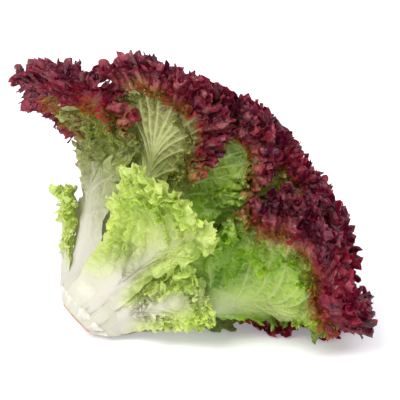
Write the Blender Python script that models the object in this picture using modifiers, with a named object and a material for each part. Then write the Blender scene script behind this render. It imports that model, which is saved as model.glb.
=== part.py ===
"""A head of lollo rosso lettuce, cut from its root and laid on its side. Metres, +Z up.

The leaves fan out of a short stem. Every point of the head is given by its distance from a root
point just behind the cut, its turn round the head's axis, and its layer, from 0 on the axis to 1
on the outermost leaf. The leaves keep to layers of their own, so that they never cross.
"""

import math
import random

import bmesh
import bpy
from mathutils import Vector

LEAF_LENGTH = 0.200        # root point to the tips of the longest leaves
STEM_LENGTH = 0.031        # root point to where the leaves leave the stem
CUT_DISTANCE = 0.0125      # root point to the cut face
CUT_RADIUS = 0.0130
BLADE_THICKNESS = 0.0008
RIB_THICKNESS = 0.0050     # the midrib where it leaves the stem
STEM_GAP = 0.0006          # between the stem and the leaf bases
DOME_ANGLE = math.radians(49)       # from the axis to the rim of the stem's dome
DOME_RINGS = 6
STEM_SIDES = 28

VIEW_ELEVATION = math.radians(18)   # the side that shows best is seen from this far above the table
AXIS_SLOPE = math.radians(43)       # the head's axis as it looks from that side
ROOT_POINT = Vector((-0.0838, -0.0584, 0.0032))

# The head's own directions: up as seen from that side, its axis, and outward to the front and back
SIDE_UP = Vector((0, math.sin(VIEW_ELEVATION), math.cos(VIEW_ELEVATION)))
AXIS = math.cos(AXIS_SLOPE) * Vector((1, 0, 0)) + math.sin(AXIS_SLOPE) * SIDE_UP
FRONT = Vector((0, -math.cos(VIEW_ELEVATION), math.sin(VIEW_ELEVATION)))
BACK_LEFT = -math.sin(AXIS_SLOPE) * Vector((1, 0, 0)) + math.cos(AXIS_SLOPE) * SIDE_UP

MEAN_REACH = 49            # degrees between the axis and the outermost leaves
REACH_FRONT = -10          # the outer leaves of the front are gone
REACH_LEFT = 3
CROWN_FRONT = -9           # the front leaves flare less at the crown
DROOP = 9                  # degrees that the crown droops to the table below the axis
TABLE_CLEARANCE = 1.0      # degrees between the outermost leaves and the table
LOW_REACH = 0.77           # share of the reach low on the head, where nothing droops
CROWN_REACH = 1.05         # share of the reach at the crown
FLARE = (0.61, 0.80)       # shares of the leaf length between which the leaves flare
DROOP_SLOPE = 0.6          # how steeply down a leaf faces when it droops all the way
LEAST_SLOPE = 0.05         # below this it never meets the table
PRESS_HEIGHT = 0.005       # frills under this height are pressed by the table

WIDEST = 0.55              # share of the margin from the tip where a leaf is widest
BASE_SHARE = 0.78          # width at the base, of the full width
TIP_BREADTH = 1.5          # power that sets how broad the leaf is at its tip
VEIN_BEND = (1.2, 0.9)     # powers that bend the veins across and along the leaf
RIB_END = 0.62             # share of the length where the midrib has split into veins
RIB_SPLIT = 0.8            # power that sets where the veins leave the midrib
RIB_WIDTH = 0.34           # share of the half width over which the midrib thins out
RIB_FADE = (0.05, 0.85)    # shares of the length between which it does the same
FRILL_START = 0.50         # share of the way from midrib to margin
FRILL_FADE = 0.25          # share of the margin over which frills die out at the base
BIG_LEAF = (32, 13)        # columns, and waves along the margin
SMALL_LEAF = (20, 9)
TOOTH = 0.07               # how far teeth stand out, as a share of the way from midrib to margin
JOIN_DISTANCE = 0.0005     # where columns run together at the end of the midrib


def leaf(name, turn, spread, layer, twist, length, frill, rib, size):
    """One leaf: where its midrib is round the axis, how far it spreads to either side, its layer,
    how much further out one side lies, its length, the height of its frills in degrees, its rib."""
    columns, waves = size
    return {
        "name": name, "turn": math.radians(turn), "spread": [math.radians(side) for side in spread],
        "layer": layer, "twist": twist, "length": length * LEAF_LENGTH,
        "frill": math.radians(frill), "rib": rib * RIB_THICKNESS,
        "columns": columns, "waves": waves,
    }


LEAVES = [
    leaf("leaf_upper_left", 70, (28, 44), 0.97, 0.00, 0.86, 3.0, 1.0, BIG_LEAF),
    leaf("leaf_table", 222, (52, 52), 1.00, 0.00, 0.97, 2.8, 1.0, BIG_LEAF),
    leaf("leaf_front_lower", 298, (50, 46), 0.88, 0.00, 0.98, 2.5, 1.0, BIG_LEAF),
    leaf("leaf_front_upper", 35, (26, 27), 0.87, 0.00, 0.97, 2.3, 0.6, BIG_LEAF),
    leaf("leaf_back_left", 152, (56, 56), 0.85, 0.00, 0.89, 2.8, 0.9, BIG_LEAF),
    leaf("leaf_back_right", 219, (58, 58), 0.75, 0.00, 0.99, 2.6, 0.8, BIG_LEAF),
    leaf("leaf_front_middle", -10, (56, 56), 0.65, 0.00, 0.98, 1.9, 0.5, BIG_LEAF),
    leaf("leaf_front_fold", 18, (34, 33), 0.75, 0.00, 0.97, 1.5, 0.4, BIG_LEAF),
    leaf("leaf_front_short", -4, (17, 42), 1.14, 0.00, 0.70, 2.4, 0.6, SMALL_LEAF),
    leaf("leaf_low_short", 316, (20, 22), 1.06, 0.00, 0.52, 2.2, 0.6, SMALL_LEAF),
    leaf("leaf_left_short", 104, (34, 34), 1.14, 0.00, 0.46, 2.8, 0.6, SMALL_LEAF),
    leaf("leaf_inner_front", 38, (66, 68), 0.52, 0.06, 0.90, 1.8, 0.6, SMALL_LEAF),
    leaf("leaf_inner_back", 160, (66, 66), 0.54, 0.06, 0.93, 2.0, 0.6, SMALL_LEAF),
    leaf("leaf_inner_right", 280, (70, 62), 0.50, 0.06, 0.97, 1.8, 0.6, SMALL_LEAF),
    leaf("leaf_heart_left", 100, (100, 100), 0.33, 0.05, 0.92, 1.8, 0.4, SMALL_LEAF),
    leaf("leaf_heart_right", 280, (100, 100), 0.33, 0.05, 0.96, 1.8, 0.4, SMALL_LEAF),
    leaf("leaf_heart", 10, (140, 140), 0.15, 0.02, 0.95, 1.5, 0.2, SMALL_LEAF),
]
ROWS = (0, 0.16, 0.38, 0.62, 0.82, 0.92, 1.0)    # from midrib to margin
FINE_ROW = 0.80                                  # past this, twice the columns


def smooth(low, high, x):
    """0 below low, 1 above high, and a smooth rise between."""
    share = min(1, max(0, (x - low) / (high - low)))
    return share * share * (3 - 2 * share)


def softer_min(a, b, sharpness=16):
    return (a ** -sharpness + b ** -sharpness) ** (-1 / sharpness)


def reach(turn, distance):
    """Angle between the axis and the outermost layer. The table holds the leaves up below."""
    down = -(FRONT.z * math.cos(turn) + BACK_LEFT.z * math.sin(turn))
    droop = smooth(0, DROOP_SLOPE, down)
    start, end = FLARE
    crown = smooth(start * LEAF_LENGTH, end * LEAF_LENGTH, distance)
    low = LOW_REACH + (1 - LOW_REACH) * droop
    free = MEAN_REACH + REACH_FRONT * math.cos(turn) + REACH_LEFT * math.sin(turn)
    free += CROWN_FRONT * crown * max(0, math.cos(turn))
    free = free * (low + (CROWN_REACH - low) * crown) + DROOP * droop * crown
    if down <= LEAST_SLOPE:
        return math.radians(free)
    table = math.degrees(math.atan2(AXIS.z, down)) - TABLE_CLEARANCE
    return math.radians(softer_min(free, table))


def head_point(distance, angle, turn):
    """A point of the head. What would lie on the table or below it is pressed flat just above it."""
    outward = math.cos(turn) * FRONT + math.sin(turn) * BACK_LEFT
    point = ROOT_POINT + distance * (math.cos(angle) * AXIS + math.sin(angle) * outward)
    if point.z < PRESS_HEIGHT:
        point.z = PRESS_HEIGHT * math.exp(point.z / PRESS_HEIGHT - 1)
    return point


def on_leaf(around, out):
    """Where a point lies on the flat leaf, as (share of the half width, share of the length).

    around runs along the margin, from -1 at the base over 0 at the tip to 1 at the base. out is
    0 on the midrib and 1 on the margin, along a vein.
    """
    t = abs(around)
    if t < WIDEST:
        across = math.sin(math.pi / 2 * t / WIDEST)
    else:
        across = 1 - (1 - BASE_SHARE) * ((t - WIDEST) / (1 - WIDEST)) ** TIP_BREADTH
    along = max(0, math.cos(math.pi / 2 * t ** TIP_BREADTH))
    vein_start = RIB_END * along ** RIB_SPLIT
    bend_across, bend_along = VEIN_BEND
    return (math.copysign(across, around) * out ** bend_across,
            vein_start + (along - vein_start) * out ** bend_along)


def frill_rules(leaf):
    """Random heights and shifts of the waves along the margin, the same on each run."""
    rng = random.Random(leaf["name"])
    count = leaf["waves"] + 2
    heights = [rng.uniform(0.65, 1.0) for _ in range(count)]
    shifts = [rng.uniform(-0.9, 0.9) for _ in range(count)]
    return heights, shifts, rng.uniform(0, 2 * math.pi)


def frill_wave(leaf, rules, around):
    """The wave along the margin, from -1 to 1."""
    heights, shifts, start = rules
    place = (around + 1) / 2 * leaf["waves"]
    first = min(int(place), leaf["waves"] - 1)
    share = smooth(0, 1, place - first)
    height = heights[first] + (heights[first + 1] - heights[first]) * share
    shift = shifts[first] + (shifts[first + 1] - shifts[first]) * share
    return height * math.sin(2 * math.pi * place + shift + start)


def leaf_point(leaf, rules, around, out):
    across, along = on_leaf(around, out)
    distance = STEM_LENGTH + STEM_GAP + (leaf["length"] - STEM_LENGTH) * along
    turn = leaf["turn"] + leaf["spread"][across > 0] * across
    layer = leaf["layer"] + leaf["twist"] * across
    grown = smooth(FRILL_START, 1, out) * smooth(0, FRILL_FADE, 1 - abs(around))
    wave = leaf["frill"] * grown * frill_wave(leaf, rules, around)
    return head_point(distance, reach(turn, distance) * layer + wave, turn)


def rib_weight(around, out):
    """1 where the midrib is thickest and 0 on the blade, for the Solidify modifier."""
    across, along = on_leaf(around, out)
    return (1 - smooth(0, RIB_WIDTH, abs(across))) * (1 - smooth(*RIB_FADE, along)) ** RIB_SPLIT


def material(name, colour, roughness):
    made = bpy.data.materials.new(name)
    made.use_nodes = True
    shader = made.node_tree.nodes["Principled BSDF"]
    shader.inputs["Base Color"].default_value = (*colour, 1)
    shader.inputs["Roughness"].default_value = roughness
    return made


def leaf_grid(leaf):
    """The flat sheet, as (around, out): two halves that meet along the midrib."""
    bm = bmesh.new()
    bmesh.ops.create_grid(bm, x_segments=leaf["columns"], y_segments=len(ROWS) - 1, size=1)
    for vert in bm.verts:
        row = round((vert.co.y + 1) / 2 * (len(ROWS) - 1))
        vert.co.y = ROWS[row]
    margin = [e for e in bm.edges
              if abs(e.verts[0].co.y - e.verts[1].co.y) < 1e-6 and e.verts[0].co.y > FINE_ROW]
    bmesh.ops.subdivide_edges(bm, edges=margin, cuts=1)
    bmesh.ops.triangulate(bm, faces=bm.faces[:])
    return bm


def add_leaf(leaf, collection, look):
    bm = leaf_grid(leaf)
    rules = frill_rules(leaf)
    rng = random.Random(leaf["name"] + " teeth")
    weights = bm.verts.layers.deform.verify()
    step = 1 / leaf["columns"]
    for vert in bm.verts:
        around, out = vert.co.x, vert.co.y
        between_columns = round((around + 1) / step) % 2 == 1
        tooth = TOOTH * rng.uniform(0.4, 1) if between_columns and out == 1 else 0
        vert[weights][0] = rib_weight(around, out)
        vert.co = leaf_point(leaf, rules, around, out + tooth)
    bmesh.ops.remove_doubles(bm, verts=bm.verts[:], dist=JOIN_DISTANCE)
    bmesh.ops.recalc_face_normals(bm, faces=bm.faces[:])
    mesh = bpy.data.meshes.new(leaf["name"])
    bm.to_mesh(mesh)
    bm.free()
    obj = bpy.data.objects.new(leaf["name"], mesh)
    collection.objects.link(obj)
    obj.vertex_groups.new(name="rib")
    mesh.materials.append(look)
    shell = obj.modifiers.new("blade", "SOLIDIFY")
    shell.thickness = leaf["rib"]
    shell.offset = 0
    shell.vertex_group = "rib"
    shell.thickness_vertex_group = BLADE_THICKNESS / leaf["rib"]
    return obj


def add_stem(collection, look):
    """The stem: a cone that widens from the cut, and a dome inside the leaves."""
    profile = [(0, STEM_LENGTH)]
    for ring in range(1, DOME_RINGS + 1):
        angle = DOME_ANGLE * ring / DOME_RINGS
        profile.append((STEM_LENGTH * math.sin(angle), STEM_LENGTH * math.cos(angle)))
    profile += [(CUT_RADIUS, CUT_DISTANCE), (0, CUT_DISTANCE)]
    mesh = bpy.data.meshes.new("stem")
    edges = [(i, i + 1) for i in range(len(profile) - 1)]
    mesh.from_pydata([(x, 0, z) for x, z in profile], edges, [])
    stem = bpy.data.objects.new("stem", mesh)
    collection.objects.link(stem)
    mesh.materials.append(look)
    screw = stem.modifiers.new("turned", "SCREW")
    screw.axis = "Z"
    screw.steps = screw.render_steps = STEM_SIDES
    screw.use_merge_vertices = True
    screw.merge_threshold = 0.00005
    stem.rotation_euler = AXIS.to_track_quat("Z", "Y").to_euler()
    stem.location = ROOT_POINT
    return stem


def add_table_cut(stem, cutters):
    """The stem is pressed flat where it rests on the table."""
    bpy.ops.mesh.primitive_cube_add(size=0.1, location=(ROOT_POINT.x, ROOT_POINT.y, -0.05))
    block = bpy.context.object
    block.name = "table_cutter"
    for old in list(block.users_collection):
        old.objects.unlink(block)
    cutters.objects.link(block)
    block.hide_render = True
    block.display_type = "WIRE"
    cut = stem.modifiers.new("flat spot", "BOOLEAN")
    cut.operation = "DIFFERENCE"
    cut.object = block


def main():
    for old in list(bpy.data.objects):
        bpy.data.objects.remove(old)
    head = bpy.data.collections.new("lollo_rosso_lettuce")
    cutters = bpy.data.collections.new("cutters")
    bpy.context.scene.collection.children.link(head)
    bpy.context.scene.collection.children.link(cutters)
    green = material("leaf_green", (0.28, 0.38, 0.06), 0.45)
    cream = material("stem_cream", (0.80, 0.75, 0.58), 0.50)
    stem = add_stem(head, cream)
    add_table_cut(stem, cutters)
    for one in LEAVES:
        add_leaf(one, head, green)


main()
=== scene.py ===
"""Looks of a head of lollo rosso lettuce, cut from its root and laid on its side. Metres, +Z up."""

import math
import random

import bpy
import numpy as np
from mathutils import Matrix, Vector


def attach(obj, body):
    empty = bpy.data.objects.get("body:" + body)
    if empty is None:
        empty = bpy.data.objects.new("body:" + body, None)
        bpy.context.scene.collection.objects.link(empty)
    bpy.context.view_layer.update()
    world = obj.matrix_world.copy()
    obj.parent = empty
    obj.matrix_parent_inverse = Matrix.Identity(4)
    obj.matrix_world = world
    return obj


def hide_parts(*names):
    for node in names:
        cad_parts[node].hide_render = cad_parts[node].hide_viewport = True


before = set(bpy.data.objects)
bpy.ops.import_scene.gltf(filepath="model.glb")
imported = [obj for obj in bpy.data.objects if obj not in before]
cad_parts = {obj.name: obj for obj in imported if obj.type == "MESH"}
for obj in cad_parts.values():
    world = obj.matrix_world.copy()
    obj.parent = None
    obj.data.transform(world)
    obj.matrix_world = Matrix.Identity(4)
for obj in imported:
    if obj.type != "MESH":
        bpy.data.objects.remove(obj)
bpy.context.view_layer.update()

# The head's shape, as in the part's source
LEAF_LENGTH = 0.200
STEM_LENGTH = 0.031
CUT_DISTANCE = 0.0125
CUT_RADIUS = 0.0130
RIB_THICKNESS = 0.0050
STEM_GAP = 0.0006
DOME_ANGLE = math.radians(49)
VIEW_ELEVATION = math.radians(18)
AXIS_SLOPE = math.radians(43)
ROOT_POINT = np.array((-0.0838, -0.0584, 0.0032))
RIGHT = np.array((1.0, 0.0, 0.0))
SIDE_UP = np.array((0.0, math.sin(VIEW_ELEVATION), math.cos(VIEW_ELEVATION)))
AXIS = math.cos(AXIS_SLOPE) * RIGHT + math.sin(AXIS_SLOPE) * SIDE_UP
FRONT = np.array((0.0, -math.cos(VIEW_ELEVATION), math.sin(VIEW_ELEVATION)))
BACK_LEFT = -math.sin(AXIS_SLOPE) * RIGHT + math.cos(AXIS_SLOPE) * SIDE_UP
MEAN_REACH = 49
REACH_FRONT = -10
REACH_LEFT = 3
CROWN_FRONT = -9
DROOP = 9
TABLE_CLEARANCE = 1.0
LOW_REACH = 0.77
CROWN_REACH = 1.05
FLARE = (0.61, 0.80)
DROOP_SLOPE = 0.6
LEAST_SLOPE = 0.05
PRESS_HEIGHT = 0.005
WIDEST = 0.55
BASE_SHARE = 0.78
TIP_BREADTH = 1.5
VEIN_BEND = (1.2, 0.9)
RIB_END = 0.62
RIB_SPLIT = 0.8
RIB_WIDTH = 0.34
RIB_FADE = (0.05, 0.85)
FRILL_START = 0.50
FRILL_FADE = 0.25
BIG_WAVES = 13
SMALL_WAVES = 9

# The finer surface
COLUMNS = {BIG_WAVES: 1280, SMALL_WAVES: 640}
# Rows from midrib to margin, as (share of the way, how many columns of the margin make one)
ROWS = ([(out, 8) for out in (0, 0.08, 0.16, 0.24, 0.31)]
        + [(out, 4) for out in (0.37, 0.42, 0.47)]
        + [(out, 2) for out in (0.52, 0.57, 0.62, 0.66, 0.70, 0.74)]
        + [(out, 1) for out in (0.775, 0.805, 0.835, 0.865, 0.89, 0.915, 0.94, 0.96, 0.98, 1.0)])
FRILL_ROWS = [(share, 1) for share in (0, 0.30, 0.55, 0.75, 0.90, 1.0)]
FIRST_SEED = 1000           # of the first leaf's random draws
LAST_PRESS = 0.004          # frills under this height are pressed by the table

# The bases of the leaves
BASE_SINK = 0.0035          # how far the inner ones run into the stem
OUTER_LAYER = 0.84          # the leaves beyond this layer clasp the stem
CLASP = 0.0095              # how far they run down the side of the stem
CLASP_END = 0.11            # share of a leaf's length over which it bends to do so
CLASP_ANGLES = (47.2, 50.2)         # degrees from the axis, at the end of the base and at the rim
LAYER_TILT = 7              # degrees that a base stands out further for a whole layer more
BASE_SPREAD = math.radians(13)      # they are this much wider on each side, so that they overlap

# Frills
# Curls of the margin, each on the last: (wavelength, height, where they start, overhang)
CURLS = ((0.0105, 0.0040, 0.66, 0.45), (0.0044, 0.0018, 0.84, 0.45))
FRILL_CURLS = ((0.0074, 0.0033, 0.0, 0.45), (0.0033, 0.0015, 0.35, 0.45))
FULL_LENGTH = 0.15          # leaves shorter than this have lower curls
LEAST_CURL = 0.25           # how much the margin curls where it isn't frilled
CALM_BASE = (0.42, 0.25)    # share of the two side margins over which the curls grow from the base
HALF_FRILLED = {"leaf_front_short": (0.12, 1.0)}    # how frilled its two half blades are
LIME_FRILLS = (0.40, 0.68)  # shares of the length between which a lime-green leaf turns frilly
RED_FRILLS = (-0.035, -0.005)       # the same for the others, from where the margin turns red
# Frills that stand out of a leaf besides its margin: (way from it, height, tilt), in frill depths
FRILLS = ((0.85, 0.28, 1.0), (0.64, 0.28, 0.9), (0.43, 0.28, 0.9), (0.22, 0.26, 1.0))
HIGHEST_FRILL = 0.011
FRILLS_END = 0.78           # share of the way from tip to base that they reach
YOUNG_FRILLS_END = 0.92     # the same on the leaves that are lime-green all over
# Points of the margin, large and small: (spacing, height, share of the frill that they take up)
TEETH = ((0.0052, 0.0058, 0.60), (0.0021, 0.0030, 0.30))

# Veins and bumps of the blade
SIDE_VEINS = 8              # main veins on each side of the midrib
LAST_VEIN = 0.94            # where the last of them ends, on the way from tip to base
MIDRIB_GAP = 0.05           # space along the margin for the midrib's own forks
MAIN_VEIN = (0.0021, 0.0015)        # half width at the midrib, and what it loses to the margin
FORKED_VEIN = (0.0011, 0.0006)
FORK_STRENGTH = 0.7
VEIN_HEIGHT = 0.0011
PUCKERS = ((0.016, 0.0020), (0.007, 0.0010))        # soft bumps: (wavelength, height)

# Where the colours lie
RED_RISE = (-0.024, 0.012)  # the margin turns red over this stretch, from where a leaf says
FLUSH_RISE = (0.100, 0.145)         # distances from the root over which the blade is flushed
FLUSH_RED = 0.10            # how red a fully flushed blade is
LIME_EDGE = (0.035, 0.008)  # distances from the margin over which a half-green leaf turns lime
WHITE_FADE = (0.050, 0.135)         # distances from the root over which the white base ends
WHITE_LOSS = 0.072          # how much nearer it ends at the sides of a lime-green leaf
CENTIMETRES = 100           # the patterns of the finish are placed in centimetres
PATTERN_STEP = 7.0          # so far apart in the patterns lies each leaf from the next

# The stem's surface
STEM_SIDES = 160
CUT_ROWS = 9
SIDE_ROWS = 14
DOME_ROWS = 8
CUT_HOLLOW = 0.0006         # how much the middle of the cut face is sunk in
FLUTES = ((11, 1.3, 0.00055), (23, 0.4, 0.00040))   # (how many round the stem, shift, height)

# Colours as seen, from 0 to 255
OLIVE = (114, 114, 54)
DULL_GREEN = (150, 150, 92)
NET_GREEN = (180, 196, 108)
FLUSHED_GREEN = (122, 84, 62)
ORANGE_BROWN = (150, 96, 50)
ROSE = (158, 60, 76)
BURGUNDY = (76, 18, 40)
VEIN_GREEN = (172, 178, 116)
VEIN_WHITE = (202, 196, 184)
BASE_WHITE = (198, 194, 182)
CROWN_GREENS = ((104, 158, 28), (156, 200, 58))
YOUNG_GREENS = ((166, 196, 76), (214, 226, 136))
STEM_CREAM = (192, 182, 166)
STEM_SHADE = (186, 180, 160)
STEM_NEAR_LEAVES = (200, 198, 186)
CUT_FLESH = (196, 172, 164)
DRIED_BROWN = (156, 112, 74)

# The picture
LENS = 171                  # mm, on film 36 mm wide
CAMERA_DISTANCE = 1.2
AIM = (0.087, 0.0835)       # from the root to the middle of the picture, to the right and up


def leaf(name, turn, spread, layer, twist, length, frill, rib, waves, red, flush, lime):
    """One leaf as in the part's source: its turn round the axis, the spread of its two half blades,
    its layer (1 is the outermost of the long ones), twist, share of the full length, height of its
    waves, thickness of its midrib, and how many waves. Red is the distances from the root at which its
    two side margins turn red, and how deep its frills and the red run in from the margin. Flush is how
    red its two half blades are, and lime is how lime-green it is."""
    return {
        "name": name, "turn": math.radians(turn), "spread": np.radians(spread),
        "layer": layer, "twist": twist, "length": length * LEAF_LENGTH,
        "frill": math.radians(frill), "rib": rib * RIB_THICKNESS, "waves": waves,
        "columns": COLUMNS[waves], "red": red, "flush": flush, "lime": lime,
    }


BIG, SMALL = BIG_WAVES, SMALL_WAVES
NEVER = 9.9                 # a distance that no leaf reaches
GREEN = (NEVER, NEVER)
INNER = (0.114, 0.114, 0.048)       # the red of the inner leaves
LEAVES = [
    leaf("leaf_upper_left", 70, (28, 44), 0.97, 0.00, 0.86, 3.0, 1.0, BIG,
         (0.158, 0.118, 0.056), (0.3, 0.3), 0.1),
    leaf("leaf_table", 222, (52, 52), 1.00, 0.00, 0.97, 2.8, 1.0, BIG,
         (0.118, 0.124, 0.042), (0.5, 1.0), 0.2),
    leaf("leaf_front_lower", 298, (50, 46), 0.88, 0.00, 0.98, 2.5, 1.0, BIG,
         (0.150, 0.159, 0.047), (1.0, 0.4), 0.6),
    leaf("leaf_front_upper", 35, (26, 27), 0.87, 0.00, 0.97, 2.3, 0.6, BIG,
         (0.158, 0.156, 0.030), (0.4, 0.4), 0.0),
    leaf("leaf_back_left", 152, (56, 56), 0.85, 0.00, 0.89, 2.8, 0.9, BIG,
         (0.118, 0.118, 0.046), (0.5, 0.5), 0.2),
    leaf("leaf_back_right", 219, (58, 58), 0.75, 0.00, 0.99, 2.6, 0.8, BIG,
         (0.118, 0.118, 0.046), (0.5, 0.5), 0.2),
    leaf("leaf_front_middle", -10, (56, 56), 0.65, 0.00, 0.98, 1.9, 0.5, BIG,
         (0.170, 0.172, 0.028), (0.7, 0.7), 0.5),
    leaf("leaf_front_fold", 18, (34, 33), 0.75, 0.00, 0.97, 1.5, 0.4, BIG,
         (0.170, 0.168, 0.026), (0.6, 0.6), 0.5),
    leaf("leaf_front_short", -4, (17, 42), 1.14, 0.00, 0.70, 2.4, 0.6, SMALL,
         (*GREEN, 0.040), (0, 0), 1.0),
    leaf("leaf_low_short", 316, (20, 22), 1.06, 0.00, 0.52, 2.2, 0.6, SMALL,
         (*GREEN, 0.020), (0, 0), 1.0),
    leaf("leaf_left_short", 104, (34, 34), 1.14, 0.00, 0.46, 2.8, 0.6, SMALL,
         (*GREEN, 0.014), (0, 0), 1.0),
    leaf("leaf_inner_front", 38, (66, 68), 0.52, 0.06, 0.90, 1.8, 0.6, SMALL,
         INNER, (0.5, 0.5), 0.3),
    leaf("leaf_inner_back", 160, (66, 66), 0.54, 0.06, 0.93, 2.0, 0.6, SMALL,
         INNER, (0.5, 0.5), 0.3),
    leaf("leaf_inner_right", 280, (70, 62), 0.50, 0.06, 0.97, 1.8, 0.6, SMALL,
         INNER, (0.5, 0.5), 0.3),
    leaf("leaf_heart_left", 100, (100, 100), 0.33, 0.05, 0.92, 1.8, 0.4, SMALL,
         INNER, (0.3, 0.3), 0.5),
    leaf("leaf_heart_right", 280, (100, 100), 0.33, 0.05, 0.96, 1.8, 0.4, SMALL,
         INNER, (0.3, 0.3), 0.5),
    leaf("leaf_heart", 10, (140, 140), 0.15, 0.02, 0.95, 1.5, 0.2, SMALL,
         INNER, (0.3, 0.3), 0.6),
]


def smooth(low, high, x):
    """0 below low, 1 above high, and a smooth rise between."""
    share = np.clip((x - low) / (high - low), 0, 1)
    return share * share * (3 - 2 * share)


def unit(vectors):
    return vectors / np.maximum(np.linalg.norm(vectors, axis=-1, keepdims=True), 1e-12)


def pressed(points, height):
    """What is lower than this height is squeezed between it and the table."""
    low = points[..., 2] < height
    points[low, 2] = height * np.exp(points[low, 2] / height - 1)
    return points


def reach(turn, distance):
    """Angle between the axis and the outermost layer."""
    down = -(FRONT[2] * np.cos(turn) + BACK_LEFT[2] * np.sin(turn))
    droop = smooth(0, DROOP_SLOPE, down)
    crown = smooth(FLARE[0] * LEAF_LENGTH, FLARE[1] * LEAF_LENGTH, distance)
    low = LOW_REACH + (1 - LOW_REACH) * droop
    free = MEAN_REACH + REACH_FRONT * np.cos(turn) + REACH_LEFT * np.sin(turn)
    free = free + CROWN_FRONT * crown * np.maximum(0, np.cos(turn))
    free = free * (low + (CROWN_REACH - low) * crown) + DROOP * droop * crown
    table = np.degrees(np.arctan2(AXIS[2], np.maximum(down, LEAST_SLOPE))) - TABLE_CLEARANCE
    held = (free ** -16.0 + table ** -16.0) ** (-1 / 16)
    return np.radians(np.where(down > LEAST_SLOPE, held, free))


def head_points(distance, angle, turn):
    outward = np.cos(turn)[..., None] * FRONT + np.sin(turn)[..., None] * BACK_LEFT
    spoke = np.cos(angle)[..., None] * AXIS + np.sin(angle)[..., None] * outward
    return pressed(ROOT_POINT + distance[..., None] * spoke, PRESS_HEIGHT)


def on_leaf(around, out):
    """Where a point lies on the flat leaf, as (share of the half width, share of the length)."""
    t = np.abs(around)
    narrowing = 1 - (1 - BASE_SHARE) * (np.maximum(t - WIDEST, 0) / (1 - WIDEST)) ** TIP_BREADTH
    across = np.where(t < WIDEST, np.sin(math.pi / 2 * t / WIDEST), narrowing)
    along = np.maximum(0, np.cos(math.pi / 2 * t ** TIP_BREADTH))
    vein_start = RIB_END * along ** RIB_SPLIT
    bend_across, bend_along = VEIN_BEND
    return (np.copysign(across, around) * out ** bend_across,
            vein_start + (along - vein_start) * out ** bend_along)


def frill_rules(one):
    """The same random heights and shifts of the waves as in the part's source."""
    rng = random.Random(one["name"])
    count = one["waves"] + 2
    heights = [rng.uniform(0.65, 1.0) for _ in range(count)]
    shifts = [rng.uniform(-0.9, 0.9) for _ in range(count)]
    return np.array(heights), np.array(shifts), rng.uniform(0, 2 * math.pi)


def frill_wave(one, around):
    heights, shifts, start = frill_rules(one)
    place = (around + 1) / 2 * one["waves"]
    first = np.minimum(place.astype(int), one["waves"] - 1)
    share = smooth(0, 1, place - first)
    height = heights[first] + (heights[first + 1] - heights[first]) * share
    shift = shifts[first] + (shifts[first + 1] - shifts[first]) * share
    return height * np.sin(2 * math.pi * place + shift + start)


def leaf_points(one, around, out, waved=True):
    """Points of the leaf's middle surface. Only its base differs from the part's source: it runs
    into the stem, or down the side of it."""
    across, along = on_leaf(around, out)
    base = STEM_LENGTH + STEM_GAP
    distance = base + (one["length"] - STEM_LENGTH) * along
    outer = one["layer"] > OUTER_LAYER
    distance = distance - (CLASP if outer else BASE_SINK) * (1 - smooth(0, 0.06, along))
    turn = one["turn"] + one["spread"][(across > 0).astype(int)] * across
    turn = turn + BASE_SPREAD * across / BASE_SHARE * (1 - smooth(0.05, 0.40, along))
    layer = one["layer"] + one["twist"] * across
    grown = smooth(FRILL_START, 1, out) * smooth(0, FRILL_FADE, 1 - np.abs(around))
    wave = one["frill"] * grown * frill_wave(one, around) if waved else 0
    angle = reach(turn, distance) * layer + wave
    if outer:
        down = smooth(STEM_LENGTH - CLASP, STEM_LENGTH, distance)
        held = CLASP_ANGLES[0] + (CLASP_ANGLES[1] - CLASP_ANGLES[0]) * down
        held = held + LAYER_TILT * (one["layer"] - 1)
        angle = angle + (np.radians(held) - angle) * (1 - smooth(0, CLASP_END, along))
    return head_points(distance, angle, turn)


def rib_weight(around, out):
    across, along = on_leaf(around, out)
    return (1 - smooth(0, RIB_WIDTH, np.abs(across))) * (1 - smooth(*RIB_FADE, along)) ** RIB_SPLIT


def wander(rng, place):
    """A smooth random curve from -1 to 1, with a new value at each whole number of place."""
    first = np.floor(place).astype(int)
    values = rng.uniform(-1, 1, first.max() + 2)
    share = smooth(0, 1, place - first)
    return values[first] + (values[first + 1] - values[first]) * share


def blisters(rng, place, wavelength, count=9):
    """Soft bumps all over a surface, from -1 to 1, from waves that cross at random."""
    total = np.zeros(place.shape[:-1])
    for _ in range(count):
        heading = rng.uniform(0, 2 * math.pi)
        length = wavelength * rng.uniform(0.7, 1.5)
        wave = np.array((math.cos(heading), math.sin(heading))) * 2 * math.pi / length
        total += np.sin(place @ wave + rng.uniform(0, 2 * math.pi))
    return total / math.sqrt(count) / 1.4


def grid_normals(grid):
    """Normals of a surface given as rows of points."""
    rows = np.gradient(grid, axis=1)
    columns = np.gradient(grid, axis=0)
    return unit(np.cross(rows, columns))


def joined(grid):
    """The two halves of the midrib row made one."""
    grid[0] = (grid[0] + grid[0][::-1]) / 2
    return grid


def curl(grid, rng, run, place, grown, wavelength, height, overhang):
    """Throws a surface into waves along its rows, out of itself and folding over. They get out of
    step with each other, and grow and shrink, along the margin."""
    normal = grid_normals(grid)
    rows = unit(np.gradient(grid, axis=1))
    phase = 2 * math.pi * run / wavelength + 2.4 * wander(rng, run / (2.7 * wavelength))
    phase = phase + 1.3 * blisters(rng, place, 3.2 * wavelength)
    size = height * grown * (0.72 + 0.4 * wander(rng, run / (1.9 * wavelength)))
    lift = (size * np.sin(phase))[..., None] * normal
    fold = (size * overhang * np.sin(2 * phase))[..., None] * rows
    return grid + lift - fold


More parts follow.
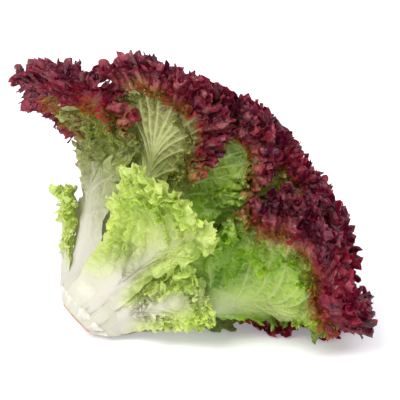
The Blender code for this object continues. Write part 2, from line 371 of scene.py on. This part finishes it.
def with_teeth(grid, rng, run, rise, grown):
    """Draws the last rows out into points, the small ones on the large."""
    for spacing, height, share in TEETH:
        outward = unit(np.gradient(grid, axis=0))
        teeth = run / spacing + 0.8 * wander(rng, run / (2.5 * spacing))
        point = 1 - np.abs(2 * (teeth - np.floor(teeth)) - 1)
        tall = 0.65 + 0.35 * wander(rng, teeth)
        push = height * tall * (point ** 1.7 - 0.5) * smooth(1 - share, 1, rise) * grown
        grid = grid + push[..., None] * outward
    return grid


def vein_paths(rng):
    """The margin ends of the main veins of a leaf, and the gap to the next."""
    ends = [(0.0, MIDRIB_GAP)]
    for side in (-1, 1):
        places = np.cumsum(rng.uniform(0.8, 1.25, SIDE_VEINS))
        places = LAST_VEIN * places / places[-1]
        gaps = np.diff(np.concatenate(([0], places)))
        ends += [(side * place, gap) for place, gap in zip(places, gaps)]
    return ends


def vein_line(flat, path, out, width):
    """1 along a vein and fading beside it. The vein thins from the midrib to the margin."""
    apart = np.linalg.norm(flat - path, axis=-1)
    return np.exp(-(apart / (width[0] - width[1] * out)) ** 2)


def vein_mask(one, rng, out, flat):
    """1 along the veins and 0 on the blade between them. The main veins fork towards the margin."""
    veins = np.zeros(flat.shape[:-1])
    out = out[:, :1]
    for end, gap in vein_paths(rng):
        path = leaf_points(one, np.full_like(out, end), out, False)
        veins = np.maximum(veins, vein_line(flat, path, out, MAIN_VEIN))
        for side in (-1, 1):
            start = rng.uniform(0.3, 0.55)
            fork = end + side * gap * rng.uniform(0.22, 0.34) * smooth(start, 1, out)
            path = leaf_points(one, np.clip(fork, -1, 1), out, False)
            fork_line = FORK_STRENGTH * vein_line(flat, path, out, FORKED_VEIN) * (out > start)
            veins = np.maximum(veins, fork_line)
    return veins


def is_young(one):
    """Whether it is one of the short leaves that are lime-green all over."""
    return one["lime"] == 1.0


def by_half(around, pair):
    """A value for the two half blades, which blends into the other at the tip."""
    return pair[0] + (pair[1] - pair[0]) * smooth(-0.25, 0.25, around)


def redness(one, around, distance, gap):
    """How red the leaf is: most at the crown's margin, and less down the sides and on the blade."""
    start = by_half(around, one["red"])
    depth = one["red"][2]
    margin = smooth(start + RED_RISE[0], start + RED_RISE[1], distance)
    margin = margin * smooth(depth, 0.3 * depth, gap)
    flush = FLUSH_RED * by_half(around, one["flush"]) * smooth(*FLUSH_RISE, distance)
    return np.maximum(margin, flush)


def frilliness(one, around, distance):
    """How frilled the margin is: fully where it is red and at the top of a lime-green leaf."""
    if one["lime"] > 0.5:
        half = by_half(around, HALF_FRILLED.get(one["name"], (1.0, 1.0)))
        return half * smooth(*LIME_FRILLS, distance / one["length"])
    start = by_half(around, one["red"])
    return smooth(start + RED_FRILLS[0], start + RED_FRILLS[1], distance)


def blade(one, rng):
    """The leaf's sheet as a grid of points with its margin curled, and the masks of its finish."""
    out = np.array([share for share, _ in ROWS])[:, None] * np.ones(one["columns"] + 1)
    around = np.linspace(-1, 1, one["columns"] + 1) * np.ones_like(out)
    grid = leaf_points(one, around, out)
    flat = leaf_points(one, around, out, False)
    steps = np.linalg.norm(np.diff(grid[-1], axis=0), axis=-1)
    run = np.concatenate(([0], np.cumsum(steps)))
    across, along = on_leaf(around, out)
    distance = np.linalg.norm(flat - ROOT_POINT, axis=-1)
    gap = np.linalg.norm(flat - flat[-1], axis=-1)
    rib = rib_weight(around, out)
    width = distance * np.sin(reach(np.full_like(out, one["turn"]), distance) * one["layer"])
    place = np.stack((across * width * one["spread"].mean(), distance), -1)
    near_base = smooth(0, FRILL_FADE, 1 - np.abs(around))
    veins = vein_mask(one, rng, out, flat) * smooth(0, 0.12, out) * (1 - 0.55 * out)

    smooth_normal = grid_normals(flat)
    tip = one["columns"] // 2
    away = flat[-1, tip] - ROOT_POINT
    sense = np.sign(smooth_normal[-1, tip] @ (away - AXIS * (away @ AXIS))) or 1.0
    pucker = sum(height * blisters(rng, place, wavelength) for wavelength, height in PUCKERS)
    pucker *= smooth(0.08, 0.5, out) * (0.5 + 0.9 * one["lime"]) * near_base * (1 - 0.6 * rib)
    ridge = one["rib"] * rib * 0.5 * (0.25 + 0.75 * smooth(0.02, 0.16, along))
    relief = (ridge + VEIN_HEIGHT * veins * (1 - 0.7 * out)) * sense
    grid = joined(grid + (pucker + relief)[..., None] * grid_normals(grid))
    frilled = smooth(0, by_half(around, CALM_BASE), 1 - np.abs(around))
    frilled *= min(1, 0.35 + 0.65 * one["length"] / FULL_LENGTH)
    frilled *= LEAST_CURL + (1 - LEAST_CURL) * frilliness(one, around, distance[-1])
    for wavelength, height, start, overhang in CURLS:
        grown = smooth(start, 1, out) * frilled
        grid = joined(curl(grid, rng, run, place, grown, wavelength, height, overhang))
    grid = with_teeth(grid, rng, run, smooth(0.80, 1, out), frilled)

    lime = np.full_like(out, one["lime"])
    if 0.5 < one["lime"] < 1:
        lime += 0.6 * smooth(*LIME_EDGE, gap)
    pale = np.maximum(veins * (1 - 0.5 * one["lime"]), rib ** 0.7)
    nearer = WHITE_LOSS * one["lime"] * np.abs(across) * smooth(0, 0.3, along)
    white = 1 - smooth(*WHITE_FADE, distance + nearer)
    masks = np.stack((redness(one, around, distance, gap), pale, white, lime), -1)
    return {"around": around, "out": out, "grid": grid, "flat": flat, "run": run, "place": place,
            "masks": masks, "normal": grid_normals(flat) * sense, "base": near_base}


def frill(one, rng, sheet, back, height, tilt, face):
    """A frill that stands out of one face of the leaf along a wandering line, like its margin."""
    around = sheet["around"][0]
    last = YOUNG_FRILLS_END if is_young(one) else FRILLS_END
    keep = np.abs(around) < last
    around = around[keep]
    run = sheet["run"][keep]
    flat = sheet["flat"][:, keep]
    length = np.linalg.norm(flat[-1] - flat[0], axis=-1)
    depth = one["red"][2]
    back = back * depth * (1 + 0.25 * wander(rng, run / 0.022))
    height = min(height * depth, HIGHEST_FRILL)
    line = np.clip(1 - back / length, 0.05, 0.95)
    rows = np.array([share for share, _ in ROWS])
    below = np.clip(np.searchsorted(rows, line) - 1, 0, len(rows) - 2)
    share = ((line - rows[below]) / (rows[below + 1] - rows[below]))[:, None]
    column = np.flatnonzero(keep)

    def on_line(values):
        return values[below, column] * (1 - share) + values[below + 1, column] * share

    foot = on_line(sheet["grid"])
    normal = unit(on_line(sheet["normal"])) * face
    inner = np.clip(line - 0.04, 0, 1)
    onward = unit(leaf_points(one, around, line, False) - leaf_points(one, around, inner, False))
    lean = tilt + 0.45 * wander(rng, run / 0.017)
    tall = height * (0.75 + 0.35 * wander(rng, run / 0.013))
    tall = tall * smooth(last, last - 0.16, np.abs(around))
    from_root = np.linalg.norm(flat[-1] - ROOT_POINT, axis=-1)
    tall = tall * frilliness(one, around, from_root)
    rise = np.array([share for share, _ in FRILL_ROWS])[:, None]
    heading = np.cos(lean)[:, None] * onward + np.sin(lean)[:, None] * normal
    grid = foot + (rise * tall)[..., None] * heading
    spot = on_line(sheet["place"])
    place = spot + rise[..., None] * tall[:, None] * np.array((0.0, 1.0))
    for wavelength, size, begin, overhang in FRILL_CURLS:
        grown = smooth(begin, 1.1, rise) * tall / height
        grid = curl(grid, rng, run, place, grown, wavelength, size, overhang)
    grid = with_teeth(grid, rng, run, rise, tall / height)
    masks = on_line(sheet["masks"]) * np.ones((len(rise), 1, 1))
    masks[..., 0] = np.clip(masks[..., 0] * (0.7 + 0.6 * rise), 0, 1)
    masks[..., 1] *= 1 - rise
    return grid, masks, place


def grid_faces(rows, count, start, weld):
    """Triangles between rows of points, where a coarser row has a point for every other one."""
    faces = []
    numbers = []
    for _, coarse in rows:
        numbers.append(np.arange(0, count, coarse) + start)
        start += count
    if weld:
        numbers[0] = np.minimum(numbers[0], numbers[0][::-1])
    for before, after in zip(numbers[:-1], numbers[1:]):
        p, q = before[:-1], before[1:]
        if len(before) == len(after):
            faces += [np.stack((p, q, after[1:]), 1), np.stack((p, after[1:], after[:-1]), 1)]
        else:
            r, s, t = after[:-2:2], after[1:-1:2], after[2::2]
            faces += [np.stack((p, q, s), 1), np.stack((q, t, s), 1), np.stack((p, s, r), 1)]
    return np.concatenate(faces)


def leaf_piece(one, index, look):
    """The leaf's blade and the frills that stand out of it, as one mesh."""
    rng = np.random.default_rng(FIRST_SEED + index)
    sheet = blade(one, rng)
    points = [sheet["grid"].reshape(-1, 3)]
    masks = [sheet["masks"].reshape(-1, 4)]
    places = [sheet["place"].reshape(-1, 2)]
    faces = [grid_faces(ROWS, one["columns"] + 1, 0, True)]
    shows_back = is_young(one) or (one["layer"] > 0.6 and math.cos(one["turn"]) > 0.2)
    for number, (back, height, tilt) in enumerate(FRILLS):
        face = 1 if shows_back or number % 2 else -1
        grid, mask, place = frill(one, rng, sheet, back, height, tilt, face)
        faces.append(grid_faces(FRILL_ROWS, grid.shape[1], sum(map(len, points)), False))
        points.append(grid.reshape(-1, 3))
        masks.append(mask.reshape(-1, 4))
        places.append(place.reshape(-1, 2))
    used, number = np.unique(np.concatenate(faces), return_inverse=True)
    points = pressed(np.concatenate(points), LAST_PRESS)[used]
    triangles = number.reshape(-1, 3)
    same = ((triangles[:, 0] == triangles[:, 1]) | (triangles[:, 1] == triangles[:, 2])
            | (triangles[:, 2] == triangles[:, 0]))
    piece = mesh_object(one["name"] + "_blade", points, triangles[~same], look)
    paint(piece, "leaf_masks", np.concatenate(masks)[used])
    spot = np.concatenate(places)[used] * CENTIMETRES
    own_layer = np.full((len(spot), 1), PATTERN_STEP * index)
    lay(piece, "leaf_place", np.concatenate((spot, own_layer), 1))
    return piece


def mesh_object(name, points, triangles, look):
    mesh = bpy.data.meshes.new(name)
    mesh.vertices.add(len(points))
    mesh.vertices.foreach_set("co", points.astype(np.float32).ravel())
    mesh.loops.add(len(triangles) * 3)
    mesh.loops.foreach_set("vertex_index", triangles.astype(np.int32).ravel())
    mesh.polygons.add(len(triangles))
    mesh.polygons.foreach_set("loop_start", np.arange(0, len(triangles) * 3, 3, dtype=np.int32))
    mesh.update(calc_edges=True)
    mesh.validate()
    mesh.shade_smooth()
    mesh.materials.append(look)
    piece = bpy.data.objects.new(name, mesh)
    bpy.context.scene.collection.objects.link(piece)
    return piece


def paint(piece, name, values):
    layer = piece.data.attributes.new(name, "FLOAT_COLOR", "POINT")
    layer.data.foreach_set("color", values.astype(np.float32).ravel())


def lay(piece, name, values):
    layer = piece.data.attributes.new(name, "FLOAT_VECTOR", "POINT")
    layer.data.foreach_set("vector", values.astype(np.float32).ravel())


def add(tree, kind, inputs=(), **settings):
    """A node, with its settings, and each input given a value or joined to a socket."""
    made = tree.nodes.new(kind)
    for key, value in settings.items():
        setattr(made, key, value)
    for key, value in dict(inputs).items():
        if isinstance(value, bpy.types.NodeSocket):
            tree.links.new(value, made.inputs[key])
        else:
            made.inputs[key].default_value = value
    return made


def mixed(tree, share, first, second):
    """A colour between two, by a share."""
    made = add(tree, "ShaderNodeMix", {0: share, 6: first, 7: second}, data_type="RGBA")
    return made.outputs[2]


def ranged(tree, value, low, high, start=0.0, end=1.0):
    made = add(tree, "ShaderNodeMapRange", {0: value, 1: low, 2: high, 3: start, 4: end},
               interpolation_type="SMOOTHSTEP")
    return made.outputs[0]


def maths(tree, operation, first, second=0.0):
    return add(tree, "ShaderNodeMath", {0: first, 1: second}, operation=operation).outputs[0]


def new_group(name, inputs, outputs):
    group = bpy.data.node_groups.new(name, "ShaderNodeTree")
    for word, kind in inputs:
        group.interface.new_socket(word, in_out="INPUT", socket_type=kind)
    for word, kind in outputs:
        group.interface.new_socket(word, in_out="OUTPUT", socket_type=kind)
    return group, add(group, "NodeGroupInput"), add(group, "NodeGroupOutput")


def net_veins_group():
    """The net of fine veins: its lines, and how the blade swells between them."""
    group, start, end = new_group(
        "net_veins",
        [("Place", "NodeSocketVector")],
        [("Lines", "NodeSocketFloat"), ("Swell", "NodeSocketFloat")])
    bent = add(group, "ShaderNodeTexNoise",
               {"Vector": start.outputs["Place"], "Scale": 1.6, "Detail": 2.0})
    moved = add(group, "ShaderNodeVectorMath",
                {0: bent.outputs["Color"], 1: (0.5, 0.5, 0.5)}, operation="SUBTRACT")
    shifted = add(group, "ShaderNodeVectorMath",
                  {0: moved.outputs[0], 1: (0.5, 0.5, 0.0), 2: start.outputs["Place"]},
                  operation="MULTIPLY_ADD")
    coarse = add(group, "ShaderNodeTexVoronoi",
                 {"Vector": shifted.outputs[0], "Scale": 1.5}, feature="DISTANCE_TO_EDGE")
    fine = add(group, "ShaderNodeTexVoronoi",
               {"Vector": shifted.outputs[0], "Scale": 3.8}, feature="DISTANCE_TO_EDGE")
    wide = ranged(group, coarse.outputs["Distance"], 0.0, 0.11, 1.0, 0.0)
    thin = ranged(group, fine.outputs["Distance"], 0.0, 0.12, 0.6, 0.0)
    lines = maths(group, "MAXIMUM", wide, thin)
    plump = ranged(group, coarse.outputs["Distance"], 0.0, 0.35)
    plumper = ranged(group, fine.outputs["Distance"], 0.0, 0.3, 0.0, 0.4)
    swell = maths(group, "ADD", plump, plumper)
    group.links.new(lines, end.inputs["Lines"])
    group.links.new(swell, end.inputs["Swell"])
    return group


def mottle_group():
    """Broad and fine blotches."""
    group, start, end = new_group(
        "mottle", [("Place", "NodeSocketVector")],
        [("Broad", "NodeSocketFloat"), ("Fine", "NodeSocketFloat")])
    broad = add(group, "ShaderNodeTexNoise",
                {"Vector": start.outputs["Place"], "Scale": 0.55, "Detail": 3.0})
    fine = add(group, "ShaderNodeTexNoise",
               {"Vector": start.outputs["Place"], "Scale": 3.5, "Detail": 4.0})
    group.links.new(broad.outputs[0], end.inputs["Broad"])
    group.links.new(fine.outputs[0], end.inputs["Fine"])
    return group


def new_material(name):
    made = bpy.data.materials.new(name)
    made.use_nodes = True
    made.node_tree.nodes.clear()
    return made, made.node_tree


def colour(srgb):
    """A colour given as seen, turned linear."""
    linear = [(c / 255 / 12.92) if c <= 10 else ((c / 255 + 0.055) / 1.055) ** 2.4 for c in srgb]
    return (*linear, 1.0)


def leaf_material(name, net, mottle, greens, roughness):
    """Leaf: green between paler veins, red towards the crown, white at the base, and translucent."""
    made, tree = new_material(name)
    masks = add(tree, "ShaderNodeAttribute", attribute_name="leaf_masks")
    split = add(tree, "ShaderNodeSeparateColor", {0: masks.outputs["Color"]})
    red, pale, white = split.outputs[0], split.outputs[1], split.outputs[2]
    lime = masks.outputs["Alpha"]
    place = add(tree, "ShaderNodeAttribute", attribute_name="leaf_place").outputs["Vector"]
    veins = add(tree, "ShaderNodeGroup", node_tree=net)
    tree.links.new(place, veins.inputs["Place"])
    blotch = add(tree, "ShaderNodeGroup", node_tree=mottle)
    tree.links.new(place, blotch.inputs["Place"])
    broad, fine = blotch.outputs["Broad"], blotch.outputs["Fine"]
    lines, swell = veins.outputs["Lines"], veins.outputs["Swell"]

    fresh = ranged(tree, lime, 0.0, 0.5)
    dark = mixed(tree, fresh, colour(OLIVE), colour(greens[0]))
    bright = mixed(tree, fresh, colour(DULL_GREEN), colour(greens[1]))
    green = mixed(tree, ranged(tree, broad, 0.32, 0.66), dark, bright)
    green = mixed(tree, ranged(tree, lime, 0.6, 1.4), green, bright)
    green = mixed(tree, maths(tree, "MULTIPLY", lines, 0.6), green, colour(NET_GREEN))
    between = maths(tree, "SUBTRACT", 1.0, maths(tree, "MULTIPLY", lines, 1.2))
    fine_part = maths(tree, "MULTIPLY", fine, 0.9)
    broad_part = maths(tree, "MULTIPLY", broad, 0.7)
    uneven = maths(tree, "SUBTRACT", maths(tree, "ADD", fine_part, broad_part), 0.8)
    level = maths(tree, "ADD", red, maths(tree, "MULTIPLY", uneven, 1.2))
    level = maths(tree, "MULTIPLY", level, ranged(tree, red, 0.0, 0.3))
    flushed = maths(tree, "MULTIPLY", between, ranged(tree, red, 0.0, 0.12, 0.0, 0.6))
    skin = mixed(tree, flushed, green, colour(FLUSHED_GREEN))
    skin = mixed(tree, ranged(tree, level, 0.08, 0.36), skin, colour(ORANGE_BROWN))
    skin = mixed(tree, ranged(tree, level, 0.38, 0.76), skin, colour(ROSE))
    skin = mixed(tree, ranged(tree, level, 0.72, 1.18), skin, colour(BURGUNDY))
    vein_colour = mixed(tree, white, colour(VEIN_GREEN), colour(VEIN_WHITE))
    showing = maths(tree, "MULTIPLY", pale, ranged(tree, red, 0.2, 1.0, 0.85, 0.2))
    skin = mixed(tree, showing, skin, vein_colour)
    skin = mixed(tree, maths(tree, "MULTIPLY", white, 0.90), skin, colour(BASE_WHITE))

    firm = maths(tree, "MAXIMUM", pale, white)
    height = maths(tree, "ADD", swell, maths(tree, "MULTIPLY", fine, 0.5))
    height = maths(tree, "MULTIPLY", height, ranged(tree, firm, 0.0, 0.8, 1.0, 0.12))
    bump = add(tree, "ShaderNodeBump", {"Height": height, "Strength": 0.5, "Distance": 0.0014})
    surface = add(tree, "ShaderNodeBsdfPrincipled",
                  {"Base Color": skin, "Roughness": roughness, "Normal": bump.outputs[0],
                   "Specular IOR Level": 0.5})
    lit = add(tree, "ShaderNodeHueSaturation",
              {"Color": skin, "Saturation": 1.15, "Value": 1.3})
    through = add(tree, "ShaderNodeBsdfTranslucent",
                  {"Color": lit.outputs[0], "Normal": bump.outputs[0]})
    share = ranged(tree, firm, 0.0, 1.0, 0.40, 0.14)
    both = add(tree, "ShaderNodeMixShader", {0: share, 1: surface.outputs[0], 2: through.outputs[0]})
    add(tree, "ShaderNodeOutputMaterial", {0: both.outputs[0]})
    return made


def stem_material(mottle):
    """Stem flesh: cream, greyer near the leaves, pinkish on the cut face and dried brown round it."""
    made, tree = new_material("stem_flesh")
    masks = add(tree, "ShaderNodeAttribute", attribute_name="leaf_masks")
    split = add(tree, "ShaderNodeSeparateColor", {0: masks.outputs["Color"]})
    fresh, edge, near_leaves = split.outputs[0], split.outputs[1], split.outputs[2]
    place = add(tree, "ShaderNodeAttribute", attribute_name="leaf_place").outputs["Vector"]
    blotch = add(tree, "ShaderNodeGroup", node_tree=mottle)
    tree.links.new(place, blotch.inputs["Place"])
    broad, fine = blotch.outputs["Broad"], blotch.outputs["Fine"]
    flesh = mixed(tree, ranged(tree, broad, 0.35, 0.7), colour(STEM_CREAM), colour(STEM_SHADE))
    flesh = mixed(tree, near_leaves, flesh, colour(STEM_NEAR_LEAVES))
    flesh = mixed(tree, fresh, flesh, colour(CUT_FLESH))
    dry = maths(tree, "MULTIPLY", edge, ranged(tree, fine, 0.3, 0.6, 0.4, 1.0))
    flesh = mixed(tree, dry, flesh, colour(DRIED_BROWN))
    bump = add(tree, "ShaderNodeBump", {"Height": fine, "Strength": 0.3, "Distance": 0.0008})
    surface = add(tree, "ShaderNodeBsdfPrincipled",
                  {"Base Color": flesh, "Roughness": 0.42, "Normal": bump.outputs[0],
                   "Subsurface Weight": 0.25, "Subsurface Radius": (0.004, 0.004, 0.002),
                   "Subsurface Scale": 1.0})
    add(tree, "ShaderNodeOutputMaterial", {0: surface.outputs[0]})
    return made


def stem_profile():
    """Rows of (radius, distance from the root): the hollow cut face, the cone, and the dome on top."""
    cut = [(r, CUT_DISTANCE + CUT_HOLLOW * (1 - (r / CUT_RADIUS) ** 2))
           for r in np.linspace(0.0005, CUT_RADIUS * 0.97, CUT_ROWS)]
    low = np.array((CUT_RADIUS, CUT_DISTANCE + CUT_HOLLOW))
    high = np.array((STEM_LENGTH * math.sin(DOME_ANGLE), STEM_LENGTH * math.cos(DOME_ANGLE)))
    side = [tuple(low + (high - low) * t) for t in np.linspace(0, 0.96, SIDE_ROWS)]
    dome = [(STEM_LENGTH * math.sin(a), STEM_LENGTH * math.cos(a))
            for a in np.linspace(DOME_ANGLE * 0.98, 0.02, DOME_ROWS)]
    return np.array(cut + side + dome)


def stem_piece(look):
    """The stem, with flutes on its side that run from the cut to the leaves."""
    profile = stem_profile()
    rows = len(profile)
    radius = np.repeat(profile[:, 0], STEM_SIDES)
    along = np.repeat(profile[:, 1], STEM_SIDES)
    turns = np.tile(np.linspace(0, 2 * math.pi, STEM_SIDES, endpoint=False), rows)
    row = np.repeat(np.arange(rows), STEM_SIDES)
    dome_start = rows - DOME_ROWS
    on_side = smooth(CUT_ROWS - 1, CUT_ROWS + 2, row)
    on_side = on_side * (1 - smooth(dome_start - 1, dome_start + 2, row))
    flutes = sum(height * np.sin(count * turns + shift) for count, shift, height in FLUTES)
    radius = radius + flutes * on_side * (radius / CUT_RADIUS)
    outward = np.cos(turns)[:, None] * FRONT + np.sin(turns)[:, None] * BACK_LEFT
    points = ROOT_POINT + along[:, None] * AXIS + radius[:, None] * outward
    points[:, 2] = np.maximum(points[:, 2], 0.0)
    j = np.arange(STEM_SIDES)
    k = (j + 1) % STEM_SIDES
    faces = []
    for r in range(rows - 1):
        near, far = r * STEM_SIDES, (r + 1) * STEM_SIDES
        faces.append(np.stack((near + j, near + k, far + k), 1))
        faces.append(np.stack((near + j, far + k, far + j), 1))
    cut_middle = len(points)
    dome_middle = cut_middle + 1
    faces.append(np.stack((np.full(STEM_SIDES, cut_middle), k, j), 1))
    faces.append(np.stack((np.full(STEM_SIDES, dome_middle), far + j, far + k), 1))
    points = np.concatenate((points, [ROOT_POINT + (CUT_DISTANCE + CUT_HOLLOW) * AXIS],
                             [ROOT_POINT + STEM_LENGTH * AXIS]))
    piece = mesh_object("stem_base", points, np.concatenate(faces), look)
    fresh = np.append((row < CUT_ROWS).astype(float), (1, 0))
    edge = np.append(np.exp(-((row - CUT_ROWS + 0.5) / 1.2) ** 2), (0, 0))
    near_leaves = np.append(smooth(CUT_ROWS + 1, CUT_ROWS + 9, row), (0, 1))
    paint(piece, "leaf_masks", np.stack((fresh, edge, near_leaves, np.zeros(len(points))), 1))
    lay(piece, "leaf_place", (points - ROOT_POINT) * CENTIMETRES)
    return piece


def add_floor():
    """A white floor, which glows a little so that it stays white around the leaves."""
    bpy.ops.mesh.primitive_plane_add(size=8, location=(0, 0, 0))
    floor = bpy.context.object
    floor.name = "floor"
    made, tree = new_material("white_floor")
    surface = add(tree, "ShaderNodeBsdfPrincipled",
                  {"Base Color": (0.92, 0.91, 0.95, 1), "Roughness": 0.9,
                   "Emission Color": (0.96, 0.95, 1.0, 1), "Emission Strength": 0.25})
    add(tree, "ShaderNodeOutputMaterial", {0: surface.outputs[0]})
    floor.data.materials.append(made)


def area_light(name, place, size, power):
    data = bpy.data.lights.new(name, "AREA")
    data.size = size
    data.energy = power
    lamp = bpy.data.objects.new(name, data)
    lamp.location = place
    lamp.rotation_mode = "QUATERNION"
    lamp.rotation_quaternion = (Vector((0, 0, 0.08)) - Vector(place)).to_track_quat("-Z", "Y")
    bpy.context.scene.collection.objects.link(lamp)


def add_light():
    world = bpy.data.worlds.new("studio")
    world.use_nodes = True
    sky = world.node_tree.nodes["Background"]
    sky.inputs["Color"].default_value = (1, 1, 1, 1)
    sky.inputs["Strength"].default_value = 0.85
    bpy.context.scene.world = world
    area_light("key", (-0.7, -1.1, 1.3), 0.9, 26)
    area_light("fill", (1.2, -0.9, 0.9), 1.2, 8)
    bpy.context.scene.view_settings.view_transform = "Standard"


def add_camera():
    """The camera looks from the side that shows best, as the photograph does."""
    data = bpy.data.cameras.new("camera")
    data.lens = LENS
    data.sensor_width = 36
    data.clip_start = 0.05
    camera = bpy.data.objects.new("camera", data)
    target = ROOT_POINT + AIM[0] * RIGHT + AIM[1] * SIDE_UP
    camera.location = target + CAMERA_DISTANCE * FRONT
    camera.rotation_mode = "QUATERNION"
    camera.rotation_quaternion = Vector(-FRONT).to_track_quat("-Z", "Y")
    bpy.context.scene.collection.objects.link(camera)
    bpy.context.scene.camera = camera


def main():
    add_camera()
    add_light()
    add_floor()
    net, mottle = net_veins_group(), mottle_group()
    crown = leaf_material("crown_leaf", net, mottle, CROWN_GREENS, 0.32)
    young = leaf_material("young_leaf", net, mottle, YOUNG_GREENS, 0.42)
    for index, one in enumerate(LEAVES):
        piece = leaf_piece(one, index, young if is_young(one) else crown)
        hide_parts(one["name"])
        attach(piece, "root")
    stem = stem_piece(stem_material(mottle))
    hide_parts("stem")
    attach(stem, "root")
    bpy.context.view_layer.update()


main()
